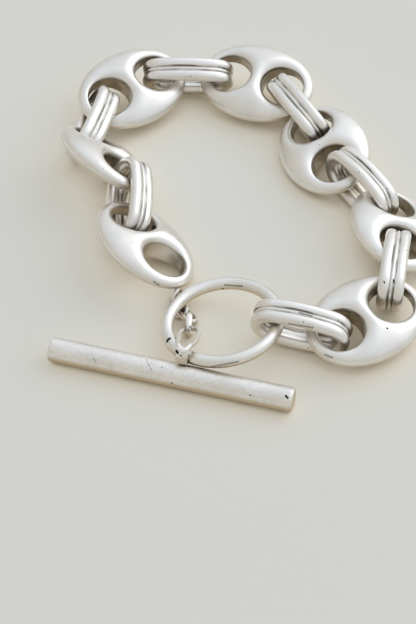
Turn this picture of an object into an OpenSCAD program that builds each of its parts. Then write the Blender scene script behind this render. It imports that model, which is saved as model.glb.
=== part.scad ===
// Link bracelet of puffed two-hole links and double-ridged oval connectors,
// closed on a flat surface, with a ring and bar clasp on a short small chain.
// Millimetres, +Z up. The origin is the middle of the closed bracelet on the surface.

/* [Puffed links] */
// Length of a puffed link, tip to tip
link_l = 17.6; // [16.6:0.1:19]
// Width of a puffed link
link_w = 13.1; // [11.5:0.1:14.5]
// Thickness of a puffed link at its middle
link_t = 4.9; // [4:0.1:5.6]
// Distance between the centres of the two holes
hole_gap = 8.4; // [8:0.1:9]
// Diameter of each hole
hole_d = 6.3; // [6:0.1:6.6]
// Width of the soft lip round each hole
lip_w = 1.8; // [1:0.1:2.2]
// Height left at the hole wall, as a share of the body's own height there
wall_share = 0.45; // [0.3:0.05:0.7]

/* [Connector links] */
// Outer length of a connector
conn_l = 13.8; // [13.4:0.1:14.4]
// Outer height of a connector
conn_h = 7.4; // [7.2:0.1:7.8]
// Bend radius at each end, on the middle line; the long sides bow out between the ends
conn_turn = 2.5; // [2.2:0.05:2.6]
// Diameter of each of its two round ridges
ridge_d = 1.7; // [1.5:0.05:1.8]
// Distance between the two ridges
ridge_gap = 1.9; // [1.7:0.05:2]
// Diameter of the fine bead in the groove between the ridges
bead_d = 0.5; // [0.3:0.05:0.6]

/* [Clasp ring] */
// Outer diameter of the ring
ring_d = 17.1; // [16.8:0.1:17.6]
// Diameter of its wire
ring_wire = 1.75; // [1.5:0.05:1.85]

/* [Clasp bar] */
// Length of the bar
bar_l = 34; // [30:0.1:38]
// Diameter of the bar
bar_d = 3.4; // [3:0.05:3.8]
// Radius of the rounded edge at each end of the bar
bar_edge = 0.35; // [0.1:0.05:0.8]
// Width of the strap that carries the eye
strap_w = 2.1; // [1.8:0.1:2.4]
// Thickness of the strap
strap_t = 0.75; // [0.6:0.05:0.9]
// Outer width of the pear-shaped eye at its wide end
eye_w = 3.4; // [3.3:0.05:3.6]
// Outer width of the eye at its narrow end
eye_neck = 2.1; // [1.8:0.1:2.4]
// Diameter of the eye's wire
eye_wire = 0.65; // [0.55:0.05:0.7]

/* [Small chain] */
// Outer length of a small link
small_l = 3.8; // [3.7:0.05:4]
// Outer width of a small link
small_w = 2.6; // [2.5:0.05:2.8]
// Diameter of the wire of the small links, the eye and the tip loop
small_wire = 0.65; // [0.5:0.01:0.68]
// Outer diameter of the loop soldered under the tip of the last puffed link
loop_d = 2.95; // [2.8:0.05:3.1]

/* [Hidden] */
$fn = 64;

// Columns of the route: where a link's middle lies, and how it is turned there
X = 0;
Y = 1;
HEADING = 2;
RISE = 3;
ROLL = 4;
LIFT = 5;
// The seven puffed links, from the ring side round to the bar side
route = [
    [21.5, -4.9, 33, 3, 9, 0.9],
    [26.5, 12.9, 95, -6, 18, 0.1],
    [17.1, 29.5, 111, 0, -19, 0.1],
    [7.4, 43.4, -20, 0, 18, 1.0],
    [-11.5, 42.1, 36, 2, 15, 1.2],
    [-14.9, 25.8, -60, 8, -39, 0.1],
    [-8.8, 9.0, -58, -5, -24, 0.6]
];
// Which end of each link meets the connector before it, and which the one after it
ends = [[-1, 1], [-1, 1], [-1, 1], [1, -1], [1, -1], [-1, 1], [-1, 1]];
// Columns of the connector table: small settings of each connector about the
// line between the two holes that it joins
ALONG = 0;
ASIDE = 1;
TURN = 2;
LEAN = 3;
TIP = 4;
RAISE = 5;
settle = [
    [0.35, 0.05, -6.5, 11, -4, 0.3],
    [0.95, 0.3, 0, 1, -4, 0.45],
    [0.15, 0.05, -7, 3.5, 2.5, 0.05],
    [-0.1, -0.15, 2, -25.5, 0, 0],
    [0.7, -0.4, -2, -29, 1, 0.3],
    [0.3, -1.2, -3, -33.3, 0.4, 0.02],
    [0.15, 0.65, -10.6, -41, -9.2, 0.85]
];
// The three small links, from the tip loop to the bar's eye
small_route = [
    [-4.25, 0.14, -54, -4.5, 26.5, 0],
    [-2.9, -1.42, -54, 6.5, -28, 0],
    [-2.6, -3.55, 88, 0, 90, 0]
];
// Middle, height and heading of the loop under the last link's tip
tip_shift = [0.23, -0.42];
tip_z = 1.5;
tip_heading = -114;
// Middle, tilt and height of the clasp ring
ring_at = [2.0, -5.15];
ring_rise = 7.5;
ring_roll = -4;
ring_lift = 1.64;
// Middle and heading of the clasp bar
bar_at = [-5.0, -12.9];
bar_heading = -15.6;
// Middles of the eye's wide end, inside the ring, and of its narrow end, over the ring's wire
eye_far = [-2.55, -5.5, 2.1];
eye_near = [-2.95, -11.28, 5.6];
// How far the strap runs level from the narrow end before it turns down into the bar
strap_run = 1.15;
// Middle of the whole bracelet on the surface
middle = [5.5, 15.7];

half_l = link_l / 2;
half_w = link_w / 2;
half_t = link_t / 2;
hole_r = hole_d / 2;
ridge_r = ridge_d / 2;
// Half height and half length of a connector's middle line
rise_h = conn_h / 2 - ridge_r;
run_l = conn_l / 2 - ridge_r;
// Radius of its bowed long sides, and half the angle that each spans
bow_r = (pow(run_l - conn_turn, 2) + pow(rise_h, 2) - pow(conn_turn, 2)) / 2 / (rise_h - conn_turn);
bow_a = atan((run_l - conn_turn) / (bow_r - rise_h));

// A point of a link's own frame carried to the bracelet, turned as its route row says
function carried(p, row) =
    let (a = row[ROLL], b = row[RISE], c = row[HEADING],
         y1 = p[1] * cos(a) - p[2] * sin(a),
         z1 = p[1] * sin(a) + p[2] * cos(a),
         x2 = p[0] * cos(b) - z1 * sin(b),
         z2 = p[0] * sin(b) + z1 * cos(b))
    [x2 * cos(c) - y1 * sin(c), x2 * sin(c) + y1 * cos(c), z2];

// Height of a link's middle when the puffed body just rests on the surface
function seat(row, l, w, t) =
    norm([l * sin(row[RISE]), w * sin(row[ROLL]) * cos(row[RISE]),
          t * cos(row[ROLL]) * cos(row[RISE])]);
function link_middle(i) =
    [route[i][X], route[i][Y], seat(route[i], half_l, half_w, half_t) + route[i][LIFT]];
function hole_middle(i, side) =
    link_middle(i) + carried([ends[i][side] * hole_gap / 2, 0, 0], route[i]);

// Height of the body over its mid-plane before the holes are cut
function dome(x, y) = half_t * sqrt(max(0, 1 - pow(x / half_l, 2) - pow(y / half_w, 2)));
// Share of that height left beside a hole whose wall is d away
function lip(d) =
    let (t = min(1, max(0, d / lip_w)))
    wall_share + (1 - wall_share) * sqrt(1 - pow(1 - t, 2));
function puffed_z(x, y) =
    dome(x, y) * lip(norm([x - hole_gap / 2, y]) - hole_r)
               * lip(norm([x + hole_gap / 2, y]) - hole_r);

// Rays from the hole centre: some reach the outline, the others the mid-line
OUT_RAYS = 20;
MID_RAYS = 8;
RAYS = OUT_RAYS + MID_RAYS;
STEPS = 6;
corner_a = 90 + atan(hole_gap / 2 / half_w);
function ray_angle(i) =
    i <= OUT_RAYS ? -corner_a + 2 * corner_a * i / OUT_RAYS
                  : 180 - atan(half_w * cos(180 * (i - OUT_RAYS) / MID_RAYS) / (hole_gap / 2));
// Distance from the hole centre to the outline along a ray
function out_reach(a) =
    let (p = pow(cos(a) / half_l, 2) + pow(sin(a) / half_w, 2),
         q = hole_gap / 2 * cos(a) / pow(half_l, 2),
         r = pow(hole_gap / 2 / half_l, 2) - 1)
    (-q + sqrt(q * q - p * r)) / p;
function ray_reach(i) =
    i <= OUT_RAYS ? out_reach(ray_angle(i)) : -hole_gap / 2 / cos(ray_angle(i));
function station(i, k) =
    let (s = (1 - cos(180 * k / STEPS)) / 2,
         d = hole_r + (ray_reach(i) - hole_r) * s,
         a = ray_angle(i))
    [hole_gap / 2 + d * cos(a), d * sin(a)];
function on_outline(i, k) = k == STEPS && i <= OUT_RAYS;
function on_midline(i, k) = k == STEPS && (i >= OUT_RAYS || i == 0);

// One puffed link in its own frame, as one closed skin of two mirrored halves
module puffed_body() {
    points = [for (half = [1, -1]) for (i = [0:RAYS - 1]) for (k = [0:STEPS]) for (up = [1, -1])
        let (p = station(i, k), z = on_outline(i, k) ? 0 : puffed_z(p[0], p[1]))
        [on_midline(i, k) ? 0 : half * p[0], p[1], up * z]];
    function at(half, i, k, up) =
        let (j = i % RAYS, h = on_midline(j, k) ? 0 : half, u = on_outline(j, k) ? 0 : up)
        ((h * RAYS + j) * (STEPS + 1) + k) * 2 + u;
    function side(flip, a, b, c) = flip ? [a, c, b] : [a, b, c];
    faces = [for (half = [0, 1]) for (i = [0:RAYS - 1]) each concat(
        [for (k = [0:STEPS - 1]) for (up = [0, 1])
            let (flip = (half + up) % 2 == 0,
                 a = at(half, i, k, up), b = at(half, i, k + 1, up),
                 c = at(half, i + 1, k + 1, up), d = at(half, i + 1, k, up))
            each [side(flip, a, b, c), side(flip, a, c, d)]],
        [let (flip = half == 1, a = at(half, i, 0, 0), b = at(half, i, 0, 1),
              c = at(half, i + 1, 0, 1), d = at(half, i + 1, 0, 0))
            each [side(flip, a, b, c), side(flip, a, c, d)]])];
    polyhedron(points, faces);
}

module laid(at, heading, rise, roll) {
    translate(at) rotate([0, 0, heading]) rotate([0, -rise, 0]) rotate([roll, 0, 0]) children();
}

module puffed_link(i) {
    color("gainsboro") laid(link_middle(i), route[i][HEADING], route[i][RISE], route[i][ROLL])
        puffed_body();
}

// Loop soldered under the tip of the last puffed link, standing upright
module tip_loop() {
    tip = link_middle(6) + carried([half_l - small_wire, 0, 0], route[6]);
    color("silver") translate([tip[0] + tip_shift[0], tip[1] + tip_shift[1], tip_z])
        rotate([0, 0, tip_heading]) rotate([90, 0, 0])
            rotate_extrude() translate([(loop_d - small_wire) / 2, 0]) circle(d = small_wire);
}

// A closed oval of a swept profile: long axis X, its opening seen along Y
module oval(r, run) {
    for (s = [0, 1]) mirror([s, 0, 0]) translate([run, 0, 0])
        rotate([90, 0, 0]) rotate([0, 0, -90]) rotate_extrude(angle = 180) translate([r, 0]) children();
    for (s = [0, 1]) mirror([0, 0, s]) translate([-run, 0, 0])
        rotate([90, 0, 90]) linear_extrude(2 * run) rotate([0, 0, 90]) translate([r, 0]) children();
}

// Section of a connector; trim thins it a little where one arc runs into the next
module ridged_profile(trim) {
    for (s = [-1, 1]) translate([0, s * ridge_gap / 2]) circle(d = ridge_d - trim);
    translate([-ridge_r * 0.75, -ridge_gap / 2]) square([ridge_r * 1.25, ridge_gap]);
    translate([ridge_r * 0.5, 0]) circle(d = bead_d - trim);
}

// A connector in its own frame: long axis X, its opening seen along Y, of four arcs
module bowed_oval() {
    lap = 1;
    for (s = [0, 1]) mirror([s, 0, 0]) translate([run_l - conn_turn, 0, 0])
        rotate([90, 0, 0]) rotate([0, 0, bow_a - 90])
            rotate_extrude(angle = 180 - 2 * bow_a) translate([conn_turn, 0]) ridged_profile(0);
    for (s = [0, 1]) mirror([0, 0, s]) translate([0, 0, rise_h - bow_r])
        rotate([90, 0, 0]) rotate([0, 0, 90 - bow_a - lap])
            rotate_extrude(angle = 2 * (bow_a + lap)) translate([bow_r, 0]) ridged_profile(0.03);
}

ring_r = (ring_d - ring_wire) / 2;
ring_dip = ring_r * norm([sin(ring_rise), cos(ring_rise) * sin(ring_roll)]);
ring_middle = [ring_at[0], ring_at[1], ring_dip + ring_wire / 2 + ring_lift];

function joint_a(i) =
    i == 0 ? let (v = hole_middle(0, 0) - ring_middle, u = [v[0], v[1], 0] / norm([v[0], v[1]]))
             ring_middle + u * (ring_r - 3)
           : hole_middle(i - 1, 1);
// How far the bowed middle line reaches in a direction, t degrees from its height
function bowed_reach(t) =
    t < bow_a ? bow_r - (bow_r - rise_h) * cos(t) : (run_l - conn_turn) * sin(t) + conn_turn;
function conn_z(row) =
    let (x = abs(sin(row[TIP])), z = cos(row[LEAN]) * cos(row[TIP]))
    norm([x, z]) * bowed_reach(atan2(x, z))
    + ridge_gap / 2 * abs(sin(row[LEAN])) * cos(row[TIP]) + ridge_r + row[RAISE];
module connector(i) {
    row = settle[i];
    a = joint_a(i);
    b = hole_middle(i, 0);
    heading = atan2(b[1] - a[1], b[0] - a[0]) + row[TURN];
    u = [cos(heading), sin(heading), 0];
    n = [-sin(heading), cos(heading), 0];
    mid = (a + b) / 2 + row[ALONG] * u + row[ASIDE] * n;
    color("silver") laid([mid[0], mid[1], conn_z(row)], heading, row[TIP], row[LEAN])
        bowed_oval();
}

module small_link(i) {
    row = small_route[i];
    dip = (small_l - small_w) / 2 * abs(sin(row[RISE]))
        + (small_w - small_wire) / 2 * norm([sin(row[RISE]), cos(row[RISE]) * sin(row[ROLL])]);
    z = dip + small_wire / 2 + row[LIFT];
    color("silver") laid([row[X], row[Y], z], row[HEADING], row[RISE], row[ROLL])
        rotate([90, 0, 0]) oval((small_w - small_wire) / 2, (small_l - small_w) / 2)
            circle(d = small_wire);
}

module toggle_ring() {
    color("silver") laid(ring_middle, 0, ring_rise, ring_roll)
        rotate_extrude() translate([ring_r, 0]) circle(d = ring_wire);
}

// The eye in its own frame: narrow end at the origin, wide end along +X
module eye(reach_l) {
    r1 = (eye_w - eye_wire) / 2;
    r2 = (eye_neck - eye_wire) / 2;
    flare = asin((r1 - r2) / reach_l);
    translate([reach_l, 0, 0]) rotate([0, 0, -90 - flare])
        rotate_extrude(angle = 180 + 2 * flare) translate([r1, 0]) circle(d = eye_wire);
    rotate([0, 0, 90 + flare])
        rotate_extrude(angle = 180 - 2 * flare) translate([r2, 0]) circle(d = eye_wire);
    for (s = [0, 1]) mirror([0, s, 0]) translate([-r2 * sin(flare), r2 * cos(flare), 0])
        rotate([0, 0, flare]) rotate([0, 90, 0]) translate([0, 0, -0.15])
            cylinder(d = eye_wire - 0.03, h = reach_l * cos(flare) + 0.3);
}

// Flat strap from the narrow end of the eye down into the bar
module strap(h) {
    rotate([90, 0, 0]) translate([0, 0, -strap_w / 2]) linear_extrude(strap_w)
        polygon([[-0.3, -strap_t / 2], [-0.3, strap_t / 2], [-strap_run, strap_t / 2],
                 [-strap_run - 1.1, -0.9], [-strap_run - 1.1, -h], [-strap_run - 0.4, -h],
                 [-strap_run - 0.4, -1.1], [-strap_run, -strap_t / 2]]);
}

module toggle_bar() {
    r = bar_d / 2;
    v = eye_far - eye_near;
    heading = atan2(v[1], v[0]);
    rise = asin(v[2] / norm(v));
    color("silver") {
        translate([bar_at[0], bar_at[1], r]) rotate([0, 0, bar_heading]) rotate([0, 90, 0])
            translate([0, 0, -bar_l / 2]) rotate_extrude() {
                translate([0, bar_edge]) square([r, bar_l - 2 * bar_edge]);
                square([r - bar_edge, bar_l]);
                for (y = [bar_edge, bar_l - bar_edge])
                    translate([r - bar_edge, y]) circle(r = bar_edge);
            }
        laid(eye_near, heading, rise, 0) eye(norm(v));
        laid(eye_near, heading, 0, 0) strap(eye_near[2] - r);
    }
}

module placed() {
    translate([-middle[0], -middle[1], 0]) children();
}

placed() toggle_bar();
placed() toggle_ring();
placed() puffed_link(0);  // puffed_link_1
placed() puffed_link(1);  // puffed_link_2
placed() puffed_link(2);  // puffed_link_3
placed() puffed_link(3);  // puffed_link_4
placed() puffed_link(4);  // puffed_link_5
placed() puffed_link(5);  // puffed_link_6
placed() { puffed_link(6); tip_loop(); }  // puffed_link_7
placed() connector(0);  // connector_1
placed() connector(1);  // connector_2
placed() connector(2);  // connector_3
placed() connector(3);  // connector_4
placed() connector(4);  // connector_5
placed() connector(5);  // connector_6
placed() connector(6);  // connector_7
placed() small_link(0);  // small_link_1
placed() small_link(1);  // small_link_2
placed() small_link(2);  // small_link_3
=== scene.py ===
# %% [markdown]
# A silver link bracelet, closed on a pale surface.
#
# Seven puffed oval links, each with two round holes, are held together by seven
# oval connectors with two ridges. A ring and a bar close the chain. The packed
# model gives every piece at its place; this lesson gives the pieces their finish:
# soft cast curves, worn polish, tarnish left where no cloth ever reaches, and
# painted shade between the pieces and under them.

# %% Load the fixed frame
import math

import bmesh
import bpy
import numpy as np
from mathutils import Matrix, Vector
from mathutils.bvhtree import BVHTree


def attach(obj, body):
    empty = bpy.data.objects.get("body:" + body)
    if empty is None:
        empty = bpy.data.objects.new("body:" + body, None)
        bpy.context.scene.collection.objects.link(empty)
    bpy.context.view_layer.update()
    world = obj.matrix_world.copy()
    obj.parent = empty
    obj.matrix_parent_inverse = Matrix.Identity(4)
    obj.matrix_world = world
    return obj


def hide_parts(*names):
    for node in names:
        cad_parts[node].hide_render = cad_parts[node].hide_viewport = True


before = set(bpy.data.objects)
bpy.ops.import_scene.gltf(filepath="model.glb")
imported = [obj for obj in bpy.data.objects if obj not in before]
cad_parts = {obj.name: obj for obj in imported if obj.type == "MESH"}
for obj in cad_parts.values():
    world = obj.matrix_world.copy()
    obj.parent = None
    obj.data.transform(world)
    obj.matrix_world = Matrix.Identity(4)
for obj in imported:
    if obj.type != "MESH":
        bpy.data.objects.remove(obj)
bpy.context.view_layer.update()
MM = 0.001
print("pieces in the frame:", len(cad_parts))

# %% [markdown]
# The camera comes first, because small marks are placed later by where they show.
# It looks down at 47 degrees with a long lens, so the links at the back are only
# a little smaller than the bar in front. Depth of field stays off.

# %% The camera
PHOTO_W, PHOTO_H = 416, 624
FOCAL_PX = 2093
SENSOR_MM = 36
CAMERA_AT = Vector((-5.5, -212.7, 214.2)) * MM
LOOK_AT = Vector((-5.5, -15.7, 0)) * MM

camera_data = bpy.data.cameras.new("camera")
camera_data.sensor_width = SENSOR_MM
camera_data.lens = FOCAL_PX * SENSOR_MM / PHOTO_H
camera_data.clip_start = 0.01
camera = bpy.data.objects.new("camera", camera_data)
camera.location = CAMERA_AT
camera.rotation_mode = "QUATERNION"
camera.rotation_quaternion = (LOOK_AT - CAMERA_AT).to_track_quat("-Z", "Y")
bpy.context.collection.objects.link(camera)
bpy.context.scene.camera = camera
print("lens %.1f mm, %.0f mm away" % (camera_data.lens, (LOOK_AT - CAMERA_AT).length / MM))


def pixel_ray(x, y):
    """Direction from the camera through a pixel of the 416 x 624 picture."""
    aim = Vector((x - PHOTO_W / 2, PHOTO_H / 2 - y, -FOCAL_PX))
    return (camera.rotation_quaternion @ aim).normalized()


# %% [markdown]
# Materials and the room are trees of nodes. Nodes can be set by hand in the node
# editor, but a recipe written as text can be read from top to bottom and changed
# in one place. A small class keeps one tree, makes its nodes and names the steps
# that come back again and again.

# %% A maker of nodes
class Nodes:
    """A node tree being built, with short names for the steps that repeat."""

    def __init__(self, tree):
        self.tree = tree
        tree.nodes.clear()

    def make(self, kind, inputs=None, **settings):
        """One node. An input given as a node's output is linked, any other is a constant."""
        node = self.tree.nodes.new(kind)
        for key, value in settings.items():
            setattr(node, key, value)
        for key, value in (inputs or {}).items():
            if isinstance(value, bpy.types.NodeSocket):
                self.tree.links.new(value, node.inputs[key])
            else:
                node.inputs[key].default_value = value
        return node

    def math(self, operation, a, b=0.0, **settings):
        """Arithmetic on two values, each a number or a node's output."""
        return self.make("ShaderNodeMath", {0: a, 1: b}, operation=operation, **settings).outputs[0]

    def vector(self, operation, inputs):
        """Arithmetic on vectors."""
        return self.make("ShaderNodeVectorMath", inputs, operation=operation)

    def rise(self, value, start, end, low=0.0, high=1.0, kind="SMOOTHSTEP"):
        """From low, before start, to high, after end. Soft at both ends unless it is LINEAR."""
        inputs = {"Value": value, "From Min": start, "From Max": end, "To Min": low, "To Max": high}
        return self.make("ShaderNodeMapRange", inputs, interpolation_type=kind).outputs["Result"]

    def ramp(self, source, stops):
        """A colour that changes with a value, with stops of (place, colour)."""
        node = self.make("ShaderNodeValToRGB", {0: source})
        elements = node.color_ramp.elements
        while len(elements) < len(stops):
            elements.new(0.5)
        for element, (place, colour) in zip(elements, stops):
            element.position = place
            element.color = (*colour, 1)
        return node.outputs["Color"]

    def blend(self, factor, a, b, kind="MIX"):
        """Colour a where the factor is 0, and b, or their product, where it is 1."""
        a, b = [(*colour, 1) if isinstance(colour, tuple) else colour for colour in (a, b)]
        inputs = {"Factor": factor, 6: a, 7: b}
        return self.make("ShaderNodeMix", inputs, data_type="RGBA", blend_type=kind).outputs[2]


def new_material(name):
    """A material, and the maker of its nodes."""
    material = bpy.data.materials.new(name)
    material.use_nodes = True
    return material, Nodes(material.node_tree)


# %% [markdown]
# The bracelet lies on a smooth pale surface, a little warm. A plain plane would
# do; a very fine grain keeps it from looking like paint.

# %% The surface that the bracelet lies on
FLOOR_SIDE = 2.4
GRAIN_SCALE = 900
GRAIN_HEIGHT = 0.1 * MM

floor_mesh = bpy.data.meshes.new("floor")
h = FLOOR_SIDE / 2
floor_mesh.from_pydata([(-h, -h, 0), (h, -h, 0), (h, h, 0), (-h, h, 0)], [], [(0, 1, 2, 3)])
floor = bpy.data.objects.new("floor", floor_mesh)
bpy.context.collection.objects.link(floor)

floor_material, tree = new_material("pale_surface")
place = tree.make("ShaderNodeTexCoord")
grain = tree.make("ShaderNodeTexNoise", {
    "Vector": place.outputs["Object"], "Scale": GRAIN_SCALE, "Detail": 4})
bump = tree.make("ShaderNodeBump", {
    "Height": grain.outputs["Fac"], "Strength": 0.05, "Distance": GRAIN_HEIGHT})
print("floor %.1f m wide" % FLOOR_SIDE)

# %% [markdown]
# Polished metal throws light back down, so the surface stays pale and creamy even
# in the shade of the links. To trace that light is slow and leaves bright specks.
# Ambient occlusion tells how much of the sky a point sees, so it knows where the
# links crowd round: there that light is painted in, as a warmer colour and a
# faint glow.

# %% Its colour, and painted bounce light: a warm tint and a glow near the links
FLOOR_COLOUR = (0.800, 0.802, 0.768)
# Painted bounce light: the warmer colour the surface takes where the links crowd round
PAINTED_BOUNCE_COLOUR = (0.88, 0.80, 0.63)
NOOK_REACH = 9 * MM
# Painted light: the surface glows near the links, though it is no lamp
PAINTED_GLOW_STRENGTH = 0.34
PAINTED_GLOW_COLOUR = (1.0, 0.97, 0.86)
GLOW_REACH = 20 * MM
# Share of the glow for each share of open sky: most where half of the sky is hidden
GLOW_SHARES = [(0.0, 0.0), (0.18, 0.08), (0.5, 0.5), (1.0, 0.0)]


def open_sky(tree, reach, samples):
    """Share of the sky that a point sees, when nothing beyond reach can hide it."""
    node = tree.make("ShaderNodeAmbientOcclusion", {"Distance": reach}, samples=samples)
    return node.outputs["AO"]


painted_bounce_tint = tree.ramp(open_sky(tree, NOOK_REACH, 12), [(0.15, PAINTED_BOUNCE_COLOUR), (0.95, FLOOR_COLOUR)])
shares = [(at, (share, share, share)) for at, share in GLOW_SHARES]
painted_glow = tree.math("MULTIPLY", tree.ramp(open_sky(tree, GLOW_REACH, 12), shares), PAINTED_GLOW_STRENGTH)
shader = tree.make("ShaderNodeBsdfPrincipled", {
    "Base Color": painted_bounce_tint, "Normal": bump.outputs["Normal"], "Roughness": 0.75,
    "Specular IOR Level": 0.25, "Emission Color": (*PAINTED_GLOW_COLOUR, 1), "Emission Strength": painted_glow})
tree.make("ShaderNodeOutputMaterial", {"Surface": shader.outputs[0]})
floor_mesh.materials.append(floor_material)
print("floor:", len(floor_material.node_tree.nodes), "nodes")

# %% [markdown]
# Silver shows what is round it, so the room matters as much as the metal. A plain
# white sky would burn the links to flat white. This one is a pale blue-grey that
# turns whiter towards the back right, and warm near the horizon, which gives the
# lower edges of the links their beige.

# %% The room
SKY_STRENGTH = 1.15
BRIGHT_SIDE = Vector((0.62, 0.42, 0.66)).normalized()
# Colour of the sky for each cosine of the angle to its bright side
SKY = [
    (0.0, (0.53, 0.51, 0.47)),
    (0.50, (0.60, 0.625, 0.65)),
    (0.78, (0.71, 0.735, 0.76)),
    (0.90, (0.76, 0.78, 0.79)),
    (0.965, (0.84, 0.85, 0.85)),
    (0.985, (0.98, 0.98, 0.97)),
]
# What it is multiplied by, from the horizon up
HAZE = [(0.0, (0.80, 0.70, 0.56)), (0.42, (1.0, 1.0, 1.0))]

world = bpy.data.worlds.new("room")
bpy.context.scene.world = world
world.use_nodes = True
tree = Nodes(world.node_tree)
direction = tree.make("ShaderNodeTexCoord").outputs["Generated"]
towards = tree.vector("DOT_PRODUCT", {0: direction, 1: BRIGHT_SIDE})
height = tree.make("ShaderNodeSeparateXYZ", {0: direction})
sky = tree.ramp(towards.outputs["Value"], SKY)
air = tree.blend(1.0, sky, tree.ramp(height.outputs["Z"], HAZE), "MULTIPLY")
background = tree.make("ShaderNodeBackground", {"Color": air, "Strength": SKY_STRENGTH})
tree.make("ShaderNodeOutputWorld", {"Surface": background.outputs[0]})
print("room:", len(world.node_tree.nodes), "nodes")

# %% [markdown]
# One large softbox at the back right stands for a window. It is broad, so the
# shadows it throws have soft edges, and the bar shows it as a long pale streak.

# %% The window
WINDOW_AT = (0.56, 0.40, 0.54)
WINDOW_SIDE = 0.85
WINDOW_POWER = 1.15
WINDOW_COLOUR = (1.0, 0.985, 0.96)

window_data = bpy.data.lights.new("window", "AREA")
window_data.shape = "SQUARE"
window_data.size = WINDOW_SIDE
window_data.energy = WINDOW_POWER
window_data.color = WINDOW_COLOUR
window = bpy.data.objects.new("window", window_data)
window.location = WINDOW_AT
window.rotation_mode = "QUATERNION"
window.rotation_quaternion = (LOOK_AT - Vector(WINDOW_AT)).to_track_quat("-Z", "Y")
bpy.context.collection.objects.link(window)
bpy.context.scene.view_settings.view_transform = "Standard"
print("window %.2f m wide, %.2f m away" % (WINDOW_SIDE, (LOOK_AT - Vector(WINDOW_AT)).length))

# %% [markdown]
# Each piece has its own directions: along it, across it and through it. Polishing
# lines run along a real link, so a finish needs those directions. They needn't be
# typed in: the piece's own points give them, as the axes along which they spread
# most and least. The last puffed link has a loop soldered under one tip, so only
# the points well inside its ends are used.

# %% Where a piece lies and how it is turned
def stance(node, inner=1.1):
    """Matrix from a piece's own axes, longest first, to the bracelet."""
    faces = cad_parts[node].data.polygons
    points = np.empty(len(faces) * 3)
    areas = np.empty(len(faces))
    faces.foreach_get("center", points)
    faces.foreach_get("area", areas)
    points = points.reshape(-1, 3)
    kept = np.ones(len(points), bool)
    for _ in range(8):
        share = areas[kept] / areas[kept].sum()
        middle = share @ points[kept]
        away = points[kept] - middle
        axes = np.linalg.eigh((away * share[:, None]).T @ away)[1].T
        local = (points - middle) @ axes.T
        order = np.argsort(-np.ptp(local, axis=0))
        axes, local = axes[order], local[:, order]
        kept = np.abs(local[:, 0]) < inner * np.ptp(local[:, 0]) / 2
    if np.linalg.det(axes) < 0:
        axes[2] *= -1
    return Matrix.Translation(Vector(middle)) @ Matrix(axes.T.tolist()).to_4x4()


for name in ("puffed_link_1", "connector_1"):
    print(name, "middle", [round(v / MM, 2) for v in stance(name).translation])

# %% [markdown]
# A puffed link is cast as a fat lens with two round holes through it. Its edge is
# rounded all the way round, and a soft lip falls into each hole, so light slides
# over it without a corner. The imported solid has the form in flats. Here the same
# form is worked out on a fine net of rays that run from a hole's middle to the
# outline, or to the line between the two holes, and is mirrored for the other half.

# %% The height of a puffed link's skin
LINK_L = 17.6 * MM
LINK_W = 13.1 * MM
LINK_T = 4.9 * MM
HOLE_GAP = 8.4 * MM
HOLE_D = 6.3 * MM
LIP_W = 1.8 * MM
WALL_SHARE = 0.45
OUT_RAYS, MID_RAYS, STEPS, WALL_STEPS = 88, 36, 22, 6


def lip(d):
    """Share of the body's height left beside a hole whose wall is d away."""
    t = np.clip(d / LIP_W, 0, 1)
    return WALL_SHARE + (1 - WALL_SHARE) * np.sqrt(1 - (1 - t) ** 2)


def puffed_height(x, y):
    """Height of the top skin over the middle plane."""
    dome = np.sqrt(np.clip(1 - (2 * x / LINK_L) ** 2 - (2 * y / LINK_W) ** 2, 0, 1))
    near = np.hypot(x - HOLE_GAP / 2, y) - HOLE_D / 2
    far = np.hypot(x + HOLE_GAP / 2, y) - HOLE_D / 2
    return LINK_T / 2 * dome * lip(near) * lip(far)


share = np.linspace(0, 1, 41)
crest = puffed_height(*np.meshgrid(share * LINK_L / 2, share * LINK_W / 2)).max()
print("a puffed link is %.1f mm thick at most" % (2 * crest / MM))

# %% The rays of the net
def puffed_rays():
    """Angle and length of each ray from a hole's middle."""
    corner = math.pi / 2 + math.atan(HOLE_GAP / LINK_W)
    rays = []
    for i in range(OUT_RAYS + 1):
        a = -corner + 2 * corner * i / OUT_RAYS
        p = (2 * math.cos(a) / LINK_L) ** 2 + (2 * math.sin(a) / LINK_W) ** 2
        q = 2 * HOLE_GAP * math.cos(a) / LINK_L**2
        r = (HOLE_GAP / LINK_L) ** 2 - 1
        rays.append((a, (-q + math.sqrt(q * q - p * r)) / p, True))
    for j in range(1, MID_RAYS):
        y = LINK_W / 2 * math.cos(math.pi * j / MID_RAYS)
        a = math.atan2(y, -HOLE_GAP / 2)
        rays.append((a, math.hypot(y, HOLE_GAP / 2), False))
    return rays


print("rays from each hole:", len(puffed_rays()))

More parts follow.
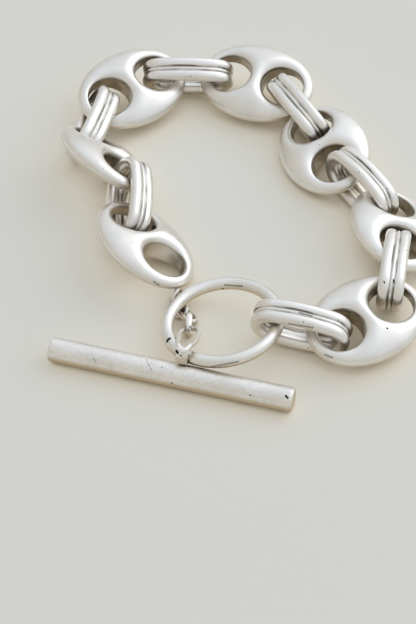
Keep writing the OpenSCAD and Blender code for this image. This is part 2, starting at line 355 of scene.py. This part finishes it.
# %% The net of one puffed link
def puffed_mesh(name):
    """A closed skin: top and bottom of both halves, and the walls of both holes."""
    points, faces, index = [], [], {}

    def at(half, ray, step, level):
        a, length, outline = rays[ray % len(rays)]
        share = (1 - math.cos(math.pi * step / STEPS)) / 2
        d = HOLE_D / 2 + (length - HOLE_D / 2) * share
        x = HOLE_GAP / 2 + d * math.cos(a)
        y = d * math.sin(a)
        if step == STEPS and not outline:
            x = 0.0
        z = 0.0 if step == STEPS and outline else float(puffed_height(x, y)) * level
        place = (round(half * x, 8), round(y, 8), round(z, 8))
        if place not in index:
            index[place] = len(points)
            points.append(place)
        return index[place]

    rays = puffed_rays()
    for half in (1, -1):
        for ray in range(len(rays)):
            for level in (1, -1):
                for step in range(STEPS):
                    loop = [at(half, ray, step, level), at(half, ray, step + 1, level),
                            at(half, ray + 1, step + 1, level), at(half, ray + 1, step, level)]
                    faces.append(loop if half * level > 0 else loop[::-1])
            for k in range(WALL_STEPS):
                high = 1 - 2 * k / WALL_STEPS
                low = 1 - 2 * (k + 1) / WALL_STEPS
                loop = [at(half, ray, 0, low), at(half, ray, 0, high),
                        at(half, ray + 1, 0, high), at(half, ray + 1, 0, low)]
                faces.append(loop if half > 0 else loop[::-1])
    mesh = bpy.data.meshes.new(name)
    mesh.from_pydata(points, [], [list(dict.fromkeys(f)) for f in faces])
    mesh.validate()
    mesh.shade_smooth()
    return mesh


puffed = puffed_mesh("puffed_form")
print("one puffed link:", len(puffed.vertices), "points", len(puffed.polygons), "faces")

# %% The seven puffed links
LINKS = ["puffed_link_%d" % i for i in range(1, 8)]
dressed = dict(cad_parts)
for node in LINKS:
    mesh = puffed.copy()
    mesh.transform(stance(node, inner=0.68))
    piece = bpy.data.objects.new("soft_" + node, mesh)
    bpy.context.collection.objects.link(piece)
    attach(piece, "root")
    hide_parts(node)
    dressed[node] = piece

# %% [markdown]
# The loop under the last link's tip is bent from round wire and soldered on. A
# union makes one body of the two, as the solder does.

# %% Two helpers: a closed tube, and a union
def closed_tube(name, points, turns, sides):
    """A smooth mesh of points laid ring by ring, the last ring joined to the first."""
    faces = []
    for i in range(turns):
        for j in range(sides):
            k, m = (i + 1) % turns, (j + 1) % sides
            faces.append((i * sides + j, k * sides + j, k * sides + m, i * sides + m))
    mesh = bpy.data.meshes.new(name)
    mesh.from_pydata(points, [], faces)
    mesh.shade_smooth()
    return mesh


def fuse(piece, other_mesh):
    """Joins another closed mesh to a piece with a union, and applies it."""
    other = bpy.data.objects.new("other", other_mesh)
    bpy.context.collection.objects.link(other)
    union = piece.modifiers.new("union", "BOOLEAN")
    union.operation = "UNION"
    union.object = other
    union.solver = "EXACT"
    graph = bpy.context.evaluated_depsgraph_get()
    fused = bpy.data.meshes.new_from_object(piece.evaluated_get(graph))
    piece.modifiers.clear()
    piece.data = fused
    bpy.data.objects.remove(other)


# %% The soldered loop
LOOP_D = 2.95 * MM
LOOP_WIRE = 0.65 * MM
LOOP_AT = Vector((-9.77, -14.0, 1.5)) * MM
LOOP_HEADING = math.radians(-114)
LOOP_TURNS, LOOP_SIDES = 56, 20

loop_points = []
for i in range(LOOP_TURNS):
    a = math.tau * i / LOOP_TURNS
    for j in range(LOOP_SIDES):
        b = math.tau * j / LOOP_SIDES
        r = (LOOP_D - LOOP_WIRE) / 2 + LOOP_WIRE / 2 * math.cos(b)
        loop_points.append((r * math.cos(a), r * math.sin(a), LOOP_WIRE / 2 * math.sin(b)))
loop_mesh = closed_tube("loop", loop_points, LOOP_TURNS, LOOP_SIDES)
loop_mesh.transform(Matrix.Translation(LOOP_AT) @ Matrix.Rotation(LOOP_HEADING, 4, "Z")
                    @ Matrix.Rotation(math.pi / 2, 4, "X"))
fuse(dressed["puffed_link_7"], loop_mesh)
print("last link with its loop:", len(dressed["puffed_link_7"].data.vertices), "points")

# %% [markdown]
# A connector is an oval of heavy section: two ridges side by side, and between
# them a groove with a fine bead. On the real one the ridges are flattened where
# they have been filed and polished. The section is drawn once, by looking out
# from its middle for where the metal ends, and is swept round the oval.

# %% The section of a connector
RIDGE_D = 1.7 * MM
RIDGE_GAP = 1.9 * MM
BEAD_D = 0.5 * MM
FLATNESS = 2.25  # 2 would leave the ridges round
SEEN_STEP, HIDDEN_STEP = 2.0, 4.0


def in_section(out, across):
    """Whether a point of the section is metal. out points away from the opening."""
    ridge = RIDGE_D / 2
    power = np.where(out > 0, FLATNESS, 2.0)
    side = np.abs(across) - RIDGE_GAP / 2
    bar = np.abs(out / ridge) ** power + np.abs(side / ridge) ** power < 1
    web = (out > -0.75 * ridge) & (out < 0.5 * ridge) & (np.abs(across) < RIDGE_GAP / 2)
    bead = (out - 0.5 * ridge) ** 2 + across**2 < (BEAD_D / 2) ** 2
    return bar | web | bead


def section():
    """Outline of the section, found along rays that lie closest together at the groove."""
    front = np.radians(np.arange(-34, 34, SEEN_STEP))
    rest = np.radians(np.arange(34, 326, HIDDEN_STEP))
    outline = []
    far = np.linspace(0, 2.4 * MM, 2400)
    for a in np.concatenate([front, rest]):
        metal = in_section(far * math.cos(a), far * math.sin(a))
        edge = far[np.argmin(metal)]
        outline.append((edge * math.cos(a), edge * math.sin(a)))
    return outline


outline = section()
print("section of", len(outline), "points, %.1f mm wide" % (np.ptp(outline, axis=0)[1] / MM))

# %% The oval of a connector
CONN_L = 13.8 * MM
CONN_H = 7.4 * MM
CONN_TURN = 2.5 * MM
END_STEPS, SIDE_STEPS = 30, 34


def oval_path():
    """Middle line of the connector, four arcs: place and outward direction, along and up."""
    rise, run = (CONN_H - RIDGE_D) / 2, (CONN_L - RIDGE_D) / 2
    bow = ((run - CONN_TURN) ** 2 + rise**2 - CONN_TURN**2) / 2 / (rise - CONN_TURN)
    half = math.atan((run - CONN_TURN) / (bow - rise))
    path = []
    for turn in (0, math.pi):
        side = math.cos(turn)
        for i in range(END_STEPS):
            a = turn + (math.pi / 2 - half) * (2 * i / END_STEPS - 1)
            out = (math.cos(a), math.sin(a))
            path.append(((side * (run - CONN_TURN) + CONN_TURN * out[0], CONN_TURN * out[1]), out))
        for i in range(SIDE_STEPS):
            a = turn + math.pi / 2 + half * (2 * i / SIDE_STEPS - 1)
            out = (math.cos(a), math.sin(a))
            path.append(((bow * out[0], bow * out[1] - side * (bow - rise)), out))
    return path


def connector_mesh(outline, path):
    """The section swept round the oval, in the piece's own axes: along, up, across."""
    points = []
    for (x, z), (ox, oz) in path:
        for out, across in outline:
            points.append((x + out * ox, z + out * oz, across))
    return closed_tube("connector_form", points, len(path), len(outline))


connector = connector_mesh(outline, oval_path())
print("one connector:", len(connector.vertices), "points")

# %% The seven connectors
CONNECTORS = ["connector_%d" % i for i in range(1, 8)]
for node in CONNECTORS:
    mesh = connector.copy()
    mesh.transform(stance(node))
    piece = bpy.data.objects.new("ridged_" + node, mesh)
    bpy.context.collection.objects.link(piece)
    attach(piece, "root")
    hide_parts(node)
    dressed[node] = piece

# %% [markdown]
# The clasp bar is round rod with filed ends. A lathe would make it perfect, and
# perfect metal looks drawn rather than worn, so its surface sways by a few
# thousandths. The sway is a sum of three slow waves, so it is the same each run.

# %% The rod
BAR_L = 34 * MM
BAR_D = 3.4 * MM
BAR_EDGE = 0.35 * MM
BAR_AT = Vector((-10.5, -28.6, 1.7)) * MM
BAR_HEADING = math.radians(-15.6)
BAR_SWAY = 0.004
BAR_RINGS, BAR_SIDES, EDGE_STEPS = 90, 96, 7


def sway(t, seed):
    """A slow uneven wave between -1 and 1, so that nothing looks machine-made."""
    waves = math.sin(2.3 * t + seed) + math.sin(5.1 * t + 2.7 * seed) + math.sin(9.7 * t + seed)
    return waves / 3


def bar_mesh():
    """Round rod along X with eased edges at both ends, its surface a little uneven."""
    profile = []
    for i in range(EDGE_STEPS + 1):
        a = math.pi / 2 * i / EDGE_STEPS
        profile.append((BAR_EDGE * (1 - math.cos(a)), BAR_D / 2 - BAR_EDGE * (1 - math.sin(a))))
    inner = [(BAR_L * i / BAR_RINGS, BAR_D / 2) for i in range(2, BAR_RINGS - 1)]
    profile = [(0.0, BAR_D / 4)] + profile + inner + [(BAR_L - x, r) for x, r in profile[::-1]]
    profile.append((BAR_L, BAR_D / 4))
    points = [(-BAR_L / 2, 0.0, 0.0)]
    for x, r in profile:
        for j in range(BAR_SIDES):
            a = math.tau * j / BAR_SIDES
            uneven = BAR_SWAY * sway(x / MM * 0.7 + 2 * math.cos(a), 3 * math.sin(a))
            near = r * (1 + uneven)
            points.append((x - BAR_L / 2, near * math.cos(a), near * math.sin(a)))
    points.append((BAR_L / 2, 0.0, 0.0))
    faces, last = [], len(points) - 1
    for j in range(BAR_SIDES):
        k = (j + 1) % BAR_SIDES
        faces.append((0, 1 + k, 1 + j))
        faces.append((last, last - BAR_SIDES + j, last - BAR_SIDES + k))
        for i in range(len(profile) - 1):
            a, b = 1 + i * BAR_SIDES, 1 + (i + 1) * BAR_SIDES
            faces.append((a + j, a + k, b + k, b + j))
    mesh = bpy.data.meshes.new("rod")
    mesh.from_pydata(points, [], faces)
    mesh.transform(Matrix.Translation(BAR_AT) @ Matrix.Rotation(BAR_HEADING, 4, "Z"))
    mesh.shade_smooth()
    return mesh


bar = bpy.data.objects.new("cast_toggle_bar", bar_mesh())
bpy.context.collection.objects.link(bar)
print("bar:", len(bar.data.vertices), "points")

# %% [markdown]
# The bar's eye is a cast, hand-worked band: an oval of uneven wire that leans to
# the left, and whose near end stands on a narrow foot, soldered to the back of the
# bar. Such a lump has no clean edges, so it is laid up from many small balls,
# wrapped in one skin by a voxel remesh, and smoothed until the balls are gone.

# %% Sizes of the eye and its foot
EYE_FAR = Vector((-8.05, -21.2, 2.1)) * MM
EYE_NEAR = Vector((-8.45, -26.98, 5.6)) * MM
EYE_W = 3.4 * MM
EYE_NECK = 2.1 * MM
EYE_WIRE = 0.65 * MM
EYE_BEND = 0.2 * MM
EYE_LEFT = 1.1 * MM
EYE_LEAN = 0.06  # mm that the eye lies further left, for each mm nearer the bar
EYE_STRAIGHT = 5.2 * MM  # where along the eye the lean starts from
EYE_SQUARE = 0.62  # 1 would leave the far end round
EYE_STEPS = 64
BALL_STEP = 0.16 * MM
FOOT_STEPS = 4
FOOT_W = 1.75 * MM
FOOT_T = 0.55 * MM
FOOT_SIDE = -0.5 * MM
# The foot's middle line: how far it has run from the eye's near end, and its height, in mm
FOOT_LINE = [(0.72, 5.6), (1.05, 5.35), (1.24, 4.85), (1.29, 4.1), (1.29, 3.4), (1.33, 2.7)]
# Metal that fills the eye's lower left corner: along, across and radius, in mm
CORNER = [(-0.5, -0.35, 0.33), (-0.25, -0.62, 0.32), (0.0, -0.78, 0.30), (-0.6, 0.1, 0.32),
          (0.3, -0.9, 0.26), (-0.62, 0.5, 0.30)]
print("the eye's middle line is %.1f mm long" % ((EYE_FAR - EYE_NEAR).length / MM))


# %% The balls of the eye and its foot
def eye_balls():
    """Places and radii of the balls that the eye and its foot are laid up from."""
    line = EYE_FAR - EYE_NEAR
    along = line.normalized()
    side = Vector((line.y, -line.x, 0)).normalized()
    back = Vector((-line.x, -line.y, 0)).normalized()

    def on_band(t, across):
        """The eye's plane slopes down into the ring, and is level over the ring's wire."""
        return EYE_NEAR + (along * t if t > 0 else back * -t) + side * across

    wide, narrow = (EYE_W - EYE_WIRE) / 2, (EYE_NECK - EYE_WIRE) / 2
    start, end = -EYE_BEND - narrow, line.length + wide
    loop = []
    for i in range(EYE_STEPS + 1):
        a = math.tau * i / EYE_STEPS
        t = (start + end) / 2 + (end - start) / 2 * math.cos(a)
        power = EYE_SQUARE if math.cos(a) > 0 else 1.0
        share = math.copysign(abs(math.sin(a)) ** power, math.sin(a))
        left = EYE_LEFT + (1.05 * wide - EYE_LEFT) * max(0, math.cos(a)) ** 0.5
        across = (wide if share > 0 else left) * share
        loop.append((t, across + EYE_LEAN * (t - EYE_STRAIGHT)))
    balls = []
    for (t0, w0), (t1, w1) in zip(loop, loop[1:]):
        count = max(1, round(math.hypot(t1 - t0, w1 - w0) / BALL_STEP))
        for i in range(count):
            t = t0 + (t1 - t0) * i / count
            across = w0 + (w1 - w0) * i / count
            stout = 1.10 - 0.10 * t / line.length + 0.08 * sway(t / MM, 2 if across > 0 else 5)
            balls.append((on_band(t, across), EYE_WIRE / 2 * stout))
    for t, across, radius in CORNER:
        lean = EYE_LEAN * (t * MM - EYE_STRAIGHT)
        balls.append((on_band(t * MM, across * MM + lean), radius * MM))
    for (run, high), (run_b, high_b) in zip(FOOT_LINE, FOOT_LINE[1:]):
        for i in range(FOOT_STEPS):
            out = (run + (run_b - run) * i / FOOT_STEPS) * MM
            level = (high + (high_b - high) * i / FOOT_STEPS) * MM
            half_width = (FOOT_W - FOOT_T) / 2 * (1.0 + 0.10 * sway(level / MM, 1))
            for k in range(-FOOT_STEPS, FOOT_STEPS + 1):
                at = on_band(-out, FOOT_SIDE + half_width * k / FOOT_STEPS)
                at.z = level
                balls.append((at, FOOT_T / 2 * (0.95 + 0.16 * sway(level / MM * 2 + k, 4))))
    return balls


balls = eye_balls()
print("balls:", len(balls))

# %% One skin over the balls, and the eye soldered to the bar
SKIN_VOXEL = 0.07 * MM
SKIN_SMOOTHING = 8


def lump(balls, name, voxel, smoothing):
    """One smooth skin over a heap of balls."""
    heap = bmesh.new()
    for at, radius in balls:
        there = Matrix.Translation(at)
        bmesh.ops.create_icosphere(heap, subdivisions=2, radius=radius, matrix=there)
    mesh = bpy.data.meshes.new(name)
    heap.to_mesh(mesh)
    heap.free()
    piece = bpy.data.objects.new(name, mesh)
    bpy.context.collection.objects.link(piece)
    remesh = piece.modifiers.new("skin", "REMESH")
    remesh.mode = "VOXEL"
    remesh.voxel_size = voxel
    relax = piece.modifiers.new("relax", "SMOOTH")
    relax.iterations = smoothing
    graph = bpy.context.evaluated_depsgraph_get()
    skin = bpy.data.meshes.new_from_object(piece.evaluated_get(graph))
    bpy.data.objects.remove(piece)
    return skin


fuse(bar, lump(balls, "eye", SKIN_VOXEL, SKIN_SMOOTHING))
bar.data.shade_smooth()
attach(bar, "root")
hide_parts("toggle_bar")
dressed["toggle_bar"] = bar
print("bar with its eye:", len(bar.data.polygons), "faces")

# %% [markdown]
# The three small links are closed by hand from soft wire, and have been hammered
# a little flat on their long sides, so they look like leaves from above and like
# grains of rice from the side. Each is swept round its oval with a section that
# is broad on the long sides and thin at the ends, where it passes its neighbours.

# %% The three small links
SMALL_L = 3.8 * MM
SMALL_W = 2.6 * MM
SMALL_WIRE = 0.65 * MM
LEAF = {"small_link_1": 1.15, "small_link_2": 1.15, "small_link_3": 1.5}
SMALL_TURNS, SMALL_SIDES = 72, 20


def leaf_link_mesh(node):
    """A small oval link whose wire is broadened, by the share in LEAF, on its long sides."""
    turn, run = (SMALL_W - SMALL_WIRE) / 2, (SMALL_L - SMALL_W) / 2
    seed = float(node[-1])
    points = []
    for i in range(SMALL_TURNS):
        a = math.tau * i / SMALL_TURNS
        x = turn * math.cos(a) + run * math.tanh(3 * math.cos(a)) / math.tanh(3)
        y = turn * math.sin(a)
        broad = 1 + (LEAF[node] - 1) * math.sin(a) ** 4
        wire = SMALL_WIRE / 2 * (0.97 + 0.05 * sway(a, seed))
        for j in range(SMALL_SIDES):
            b = math.tau * j / SMALL_SIDES
            out, through = wire * math.cos(b), wire * broad * math.sin(b)
            points.append((x + out * math.cos(a), y + out * math.sin(a), through))
    mesh = closed_tube("leaf_" + node, points, SMALL_TURNS, SMALL_SIDES)
    mesh.transform(stance(node))
    return mesh


for node in LEAF:
    piece = bpy.data.objects.new("leaf_" + node, leaf_link_mesh(node))
    bpy.context.collection.objects.link(piece)
    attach(piece, "root")
    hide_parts(node)
    dressed[node] = piece
print("small links:", len(LEAF))

# %% [markdown]
# Short dark strokes lie on the pieces: small nicks, solder that has turned black,
# and some longer, fainter streaks that darken the metal along a line. They could be
# painted on a picture and wrapped round, but then each piece would need its surface
# unrolled. A stroke is only a line with a width, so a group of nodes works out how
# far a point is from the line.

# %% A mark: how near a point is to a short stroke
def mark_group():
    """Node group: 1 inside a stroke from A to B of the given half width, 0 outside."""
    group = bpy.data.node_groups.new("stroke", "ShaderNodeTree")
    face = group.interface
    for name in ("Point", "A", "AB"):
        face.new_socket(name, in_out="INPUT", socket_type="NodeSocketVector")
    for name in ("Length2", "Half width"):
        face.new_socket(name, in_out="INPUT", socket_type="NodeSocketFloat")
    face.new_socket("Mask", in_out="OUTPUT", socket_type="NodeSocketFloat")
    tree = Nodes(group)
    given = tree.make("NodeGroupInput").outputs
    away = tree.vector("SUBTRACT", {0: given["Point"], 1: given["A"]}).outputs[0]
    dot = tree.vector("DOT_PRODUCT", {0: away, 1: given["AB"]}).outputs["Value"]
    along = tree.math("DIVIDE", dot, given["Length2"], use_clamp=True)
    foot = tree.vector("SCALE", {0: given["AB"], "Scale": along}).outputs[0]
    gap = tree.vector("DISTANCE", {0: away, 1: foot}).outputs["Value"]
    share = tree.math("DIVIDE", gap, given["Half width"])
    tree.make("NodeGroupOutput", {"Mask": tree.rise(share, 0.45, 1.0, 1.0, 0.0)})
    return group


STROKE = mark_group()
print("stroke:", len(STROKE.nodes), "nodes")

# %% Where the marks lie, as they show in the picture
# Columns: the piece, the mark's two ends in pixels, its width in mm, and how dark it is
MARKS = [
    ("toggle_bar", 146.0, 359.5, 151.5, 370.5, 0.16, 0.6),
    ("toggle_bar", 285.8, 396.0, 287.5, 398.0, 0.42, 1.0),
    ("toggle_bar", 93.0, 358.5, 96.0, 362.0, 0.16, 0.6),
    ("toggle_bar", 171.5, 382.5, 172.3, 383.5, 0.20, 1.0),
    ("toggle_bar", 249.5, 395.0, 250.5, 395.6, 0.20, 1.0),
    ("toggle_bar", 179.0, 364.5, 188.0, 366.5, 0.34, 0.8),
    ("toggle_ring", 225.0, 285.2, 242.0, 286.2, 0.34, 0.6),
    ("toggle_ring", 211.0, 366.8, 238.0, 361.8, 0.34, 0.6),
    ("toggle_ring", 167.2, 341.0, 169.4, 338.6, 0.62, 1.0),
    ("toggle_ring", 222.5, 288.4, 223.5, 288.8, 0.30, 1.0),
    ("toggle_bar", 176.5, 351.0, 177.5, 353.0, 0.50, 1.0),
    ("toggle_bar", 180.0, 355.0, 182.0, 356.0, 0.22, 1.0),
    ("small_link_3", 189.8, 326.5, 190.3, 328.0, 0.22, 1.0),
    ("small_link_3", 188.0, 329.0, 189.0, 331.5, 0.18, 1.0),
    ("puffed_link_1", 346.0, 311.4, 350.0, 312.8, 0.30, 1.0),
    ("puffed_link_1", 325.0, 354.8, 332.0, 357.6, 0.34, 0.6),
    ("puffed_link_1", 387.0, 328.0, 387.6, 328.6, 0.30, 1.0),
    ("connector_1", 299.0, 312.6, 312.0, 315.8, 0.34, 0.6),
    ("connector_1", 289.0, 323.8, 313.0, 327.6, 0.34, 0.6),
    ("connector_2", 393.6, 280.0, 394.2, 283.0, 0.30, 1.0),
    ("connector_2", 384.0, 281.4, 384.4, 283.0, 0.24, 1.0),
    ("puffed_link_7", 153.6, 281.6, 159.0, 285.0, 0.34, 0.6),
    ("puffed_link_7", 152.8, 227.4, 153.6, 229.0, 1.1, 1.0),
]


def marks_on(node):
    """Short parts of a piece's marks: both ends and half width in mm, and how dark they are."""
    graph = bpy.context.evaluated_depsgraph_get()
    tree = BVHTree.FromObject(dressed[node], graph)
    found = []
    for name, x0, y0, x1, y1, width, depth in MARKS:
        if name != node:
            continue
        parts = max(1, round(math.hypot(x1 - x0, y1 - y0) / 5))
        ends = []
        for i in range(parts + 1):
            x, y = x0 + (x1 - x0) * i / parts, y0 + (y1 - y0) * i / parts
            ends.append(tree.ray_cast(camera.location, pixel_ray(x, y))[0])
        if None in ends:
            print("no surface under a mark on", node, x0, y0)
            ends = [end for end in ends if end]
        found += [(a / MM, b / MM, width / 2, depth) for a, b in zip(ends, ends[1:])]
    return found


print("marks:", len(MARKS))

# %% [markdown]
# Sterling silver that has been worn: bright and soft where it is rubbed, with
# fine lines along each piece, and tarnish that starts brown and ends blue-black
# in pits, grooves and the places where two links rub. Painted shade, warm and
# brown, lies between the pieces, on their undersides and inside the holes. One
# recipe serves every piece; the piece's own directions turn it, and a number sets
# how satin it is. It is built up in layers: patterns, spots, nooks, colour, and
# then the relief.

# %% Patterns that lie along a piece
def own_place(tree, node):
    """Where a point lies in the piece's own axes, in mm: along, across and through it."""
    lie = stance(node).inverted()
    return tree.make("ShaderNodeMapping", {
        "Vector": tree.make("ShaderNodeTexCoord").outputs["Object"],
        "Location": lie.translation / MM, "Rotation": lie.to_euler(),
        "Scale": (1 / MM,) * 3}).outputs["Vector"]


def noise(tree, here, scale, detail, stretch=(1, 1, 1)):
    """Soft noise, drawn out in a direction whose number in stretch is small."""
    laid = tree.make("ShaderNodeMapping", {"Vector": here, "Scale": stretch})
    return tree.make("ShaderNodeTexNoise", {
        "Vector": laid.outputs["Vector"], "Scale": scale, "Detail": detail}).outputs["Fac"]


def spots(tree, here, scale, start, end, kind="SMOOTHSTEP"):
    """Small scattered spots: 0 further than start from a spot's middle, 1 nearer than end."""
    cells = tree.make("ShaderNodeTexVoronoi", {"Vector": here, "Scale": scale, "Randomness": 1.0})
    return tree.rise(cells.outputs["Distance"], start, end, kind=kind)


# %% Dark spots: pits, and the listed marks
PIT_SCALE = 0.55
WOBBLE = 0.9
WOBBLE_SCALE = 2.2


def pits(tree, here):
    """Tiny dark specks, a few to the square centimetre."""
    return spots(tree, here, PIT_SCALE, 0.055, 0.035, "LINEAR")


def marked(tree, node, dark):
    """The darkness so far, and the strokes of this piece with wavering edges."""
    place = tree.make("ShaderNodeTexCoord").outputs["Object"]
    for a, b, half_width, depth in marks_on(node):
        wobble = tree.make("ShaderNodeTexNoise", {"Vector": place, "Scale": WOBBLE_SCALE / MM})
        shift = tree.vector("SUBTRACT", {0: wobble.outputs["Color"], 1: (0.5, 0.5, 0.5)})
        nudge = tree.vector("SCALE", {0: shift.outputs[0], "Scale": WOBBLE * half_width})
        point = tree.vector("SCALE", {0: place, "Scale": 1 / MM})
        moved = tree.vector("ADD", {0: point.outputs[0], 1: nudge.outputs[0]})
        stroke = tree.make("ShaderNodeGroup", {
            "Point": moved.outputs[0], "A": a, "AB": b - a,
            "Length2": max((b - a).length_squared, 1e-4), "Half width": half_width},
            node_tree=STROKE)
        dark = tree.math("MAXIMUM", dark, tree.math("MULTIPLY", stroke.outputs["Mask"], depth))
    return dark


# %% Nooks: hole walls, bead lines, and where other metal hides the sky
GROOVE = 0.36  # mm from a connector's middle to the dark line beside its bead


def hole_walls(tree, here):
    """1 on the walls of a puffed link's two holes, in patches."""
    parts = tree.make("ShaderNodeSeparateXYZ", {0: here}).outputs
    off = tree.math("SUBTRACT", tree.math("ABSOLUTE", parts[0]), HOLE_GAP / 2 / MM)
    square = tree.math("ADD", tree.math("MULTIPLY", off, off),
                       tree.math("MULTIPLY", parts[1], parts[1]))
    wall_at = HOLE_D / 2 / MM
    wall = tree.rise(tree.math("SQRT", square), wall_at + 0.25, wall_at + 0.02)
    patches = tree.rise(noise(tree, here, 0.45, 2), 0.35, 0.6, 0.6, 1.0)
    return tree.math("MULTIPLY", wall, patches)


def bead_lines(tree, here):
    """1 on the two lines beside a connector's bead, in long patches."""
    parts = tree.make("ShaderNodeSeparateXYZ", {0: here}).outputs
    off = tree.math("SUBTRACT", tree.math("ABSOLUTE", parts[2]), GROOVE)
    line = tree.rise(tree.math("ABSOLUTE", off), 0.17, 0.06)
    patches = tree.rise(noise(tree, here, 0.5, 2, (0.5, 0.5, 4)), 0.34, 0.58)
    return tree.math("MULTIPLY", line, patches)


def sheltered(tree, reach, start, end):
    """From 0 in the open to 1 where other metal within reach hides most of the sky."""
    return tree.rise(open_sky(tree, reach, 8), start, end)


# %% Brown tarnish and painted shade between the links
TARNISH_AND_SHADE_REACH = 2.2 * MM


def tarnish_and_shade_mask(tree, here):
    """1 deep between two pieces, broken up where they have rubbed each other clean: tarnish and
    painted shade.
    """
    rubbed = tree.math("MULTIPLY", tree.math("SUBTRACT", noise(tree, here, 1.1, 3), 0.22), 1.9)
    return tree.math("MULTIPLY", sheltered(tree, TARNISH_AND_SHADE_REACH, 0.55, 0.16), rubbed, use_clamp=True)


# %% The silver's colours
BRIGHT = (0.965, 0.962, 0.952)
DULL = (0.865, 0.855, 0.830)
FLECK = (0.62, 0.60, 0.56)
# Painted shade: the warm brown of metal where other metal hides the sky
PAINTED_WARM_SHADE = (0.660, 0.560, 0.410)
# Painted shade: the beige-brown of the undersides
PAINTED_UNDERSIDE_SHADE = (0.600, 0.470, 0.300)
# Patina on the hole walls, darkened further by painted shade
HOLE_PATINA_AND_SHADE = (0.22, 0.18, 0.125)
BROWN = (0.075, 0.060, 0.042)
BLACK = (0.018, 0.026, 0.032)
WARM_SHADE_REACH = 7 * MM


def worn_silver(tree, here, satin):
    """Clean metal: clouds of two brightnesses, hair lines, and on satin flecks and pores."""
    colour = tree.ramp(noise(tree, here, 0.22, 3), [(0.30, DULL), (0.62, BRIGHT)])
    hairs = noise(tree, here, 2.2, 2, (0.25, 14, 14))
    streaks = tree.rise(hairs, 0.68, 0.80, 0.0, 0.22 + 0.2 * satin, "LINEAR")
    colour = tree.blend(streaks, colour, DULL)
    if satin > 0.3:
        flecks = tree.rise(noise(tree, here, 3.4, 5, (0.5, 1, 1)), 0.46, 0.70)
        colour = tree.blend(tree.math("MULTIPLY", flecks, 0.3), colour, FLECK)
        clusters = tree.rise(noise(tree, here, 0.5, 2), 0.50, 0.62)
        pores = tree.math("MULTIPLY", spots(tree, here, 2.1, 0.19, 0.10), clusters)
        colour = tree.blend(tree.math("MULTIPLY", pores, 0.5), colour, BROWN)
    return colour


def painted_shade_and_tarnish(tree, here, node, colour):
    """Painted shade between pieces and underneath; tarnish by the bead; patina and shade in holes.
    """
    warm_shade_share = 0.25 if node in CONNECTORS else 0.5
    # low is the share of painted shade on the undersides, which face down
    low = 0.35 if node in CONNECTORS else 0.5 if node in LINKS else 0.85
    normal = tree.make("ShaderNodeNewGeometry").outputs["Normal"]
    up = tree.make("ShaderNodeSeparateXYZ", {0: normal}).outputs[2]
    # Painted shade: warmer, darker metal where other metal within reach hides the sky
    warm_shade_mask = tree.math("MULTIPLY", sheltered(tree, WARM_SHADE_REACH, 0.50, 0.12), warm_shade_share)
    colour = tree.blend(warm_shade_mask, colour, PAINTED_WARM_SHADE)
    # Painted shade: faces that point down turn beige-brown
    colour = tree.blend(tree.math("MULTIPLY", tree.rise(up, 0.45, -0.15), low), colour, PAINTED_UNDERSIDE_SHADE)
    # Patina and painted shade: the hole walls turn dark tan in patches
    if node in LINKS:
        colour = tree.blend(tree.math("MULTIPLY", hole_walls(tree, here), 0.85), colour, HOLE_PATINA_AND_SHADE)
    if node in CONNECTORS:
        colour = tree.blend(tree.math("MULTIPLY", bead_lines(tree, here), 0.85), colour, BROWN)
    return colour


# %% The silver's shine and relief
def shine(tree, lines, satin, dark, tarnish_and_shade):
    """Roughness: higher along the polishing lines, on the tarnish and painted shade, and in the
    marks.
    """
    rough = tree.rise(lines, 0.3, 0.7, 0.29 + 0.20 * satin, 0.40 + 0.22 * satin, "LINEAR")
    rough = tree.math("ADD", rough, tree.math("MULTIPLY", tarnish_and_shade, 0.35))
    return tree.math("MAXIMUM", rough, tree.math("MULTIPLY", dark, 0.6))


def relief(tree, here, lines, satin, dark):
    """Height in mm: soft dents, polishing lines and grain, and the marks cut in."""
    height = tree.math("MULTIPLY", noise(tree, here, 0.5, 2), 0.022)
    height = tree.math("ADD", height, tree.math("MULTIPLY", lines, 0.0040 + 0.004 * satin))
    grain = tree.math("MULTIPLY", noise(tree, here, 9.0, 3), 0.0024 + 0.003 * satin)
    height = tree.math("ADD", height, grain)
    height = tree.math("SUBTRACT", height, tree.math("MULTIPLY", dark, 0.05))
    return tree.make("ShaderNodeBump", {"Height": height, "Strength": 1.0, "Distance": MM})


# %% The silver of one piece
def silver(node, satin):
    """Worn sterling silver laid along one piece. satin 0 is polished, 1 is fully matt."""
    material, tree = new_material("silver_" + node)
    here = own_place(tree, node)
    lines = noise(tree, here, 1.4, 4, (0.35, 5, 5))
    dark = marked(tree, node, pits(tree, here))
    tarnish_and_shade = tarnish_and_shade_mask(tree, here)
    colour = painted_shade_and_tarnish(tree, here, node, worn_silver(tree, here, satin))
    # Brown for the tarnish and painted shade between the pieces, blue-black in the pits and marks
    colour = tree.blend(dark, tree.blend(tarnish_and_shade, colour, BROWN), BLACK)
    shader = tree.make("ShaderNodeBsdfPrincipled", {
        "Base Color": colour, "Metallic": 1.0,
        "Roughness": shine(tree, lines, satin, dark, tarnish_and_shade),
        "Normal": relief(tree, here, lines, satin, dark).outputs["Normal"]})
    tree.make("ShaderNodeOutputMaterial", {"Surface": shader.outputs[0]})
    return material


# %% [markdown]
# The bar and its eye have been brushed, so they are the most satin. The ring is
# a little duller than the links, which rub each other bright.

# %% Dress every piece
SATIN = {"toggle_bar": 0.55, "toggle_ring": 0.15}
SATIN_OF_LINKS = 0.1
for node, piece in dressed.items():
    piece.data.materials.clear()
    piece.data.materials.append(silver(node, SATIN.get(node, SATIN_OF_LINKS)))
print("finishes:", len(bpy.data.materials))
